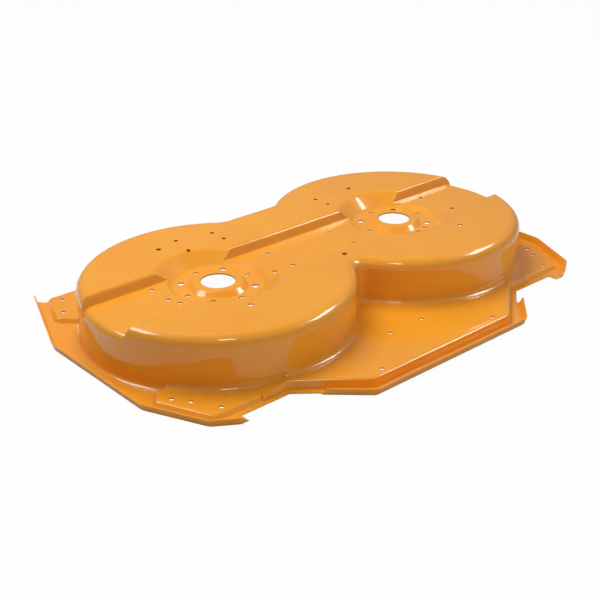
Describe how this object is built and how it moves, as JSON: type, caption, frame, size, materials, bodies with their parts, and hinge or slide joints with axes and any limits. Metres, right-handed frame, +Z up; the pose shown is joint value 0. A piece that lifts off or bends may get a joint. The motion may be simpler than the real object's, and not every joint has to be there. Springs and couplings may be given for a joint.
{
  "type": "lawn mower deck",
  "caption": "Pressed sheet-steel mower deck shell: twin round blade drums with a belt channel, spindle seats, raised corner pads and a gutter with a turned-up lip.",
  "frame": {"origin": "on the ground under the middle of the outline", "axes": "+X from the left spindle to the right one, +Y to the back edge, +Z up"},
  "size_m": [1.122, 0.752, 0.1175],
  "materials": {
    "enamel": "glossy orange enamel"
  },
  "bodies": {
    "root": {"deck_shell": "enamel"}
  },
  "joints": []
}
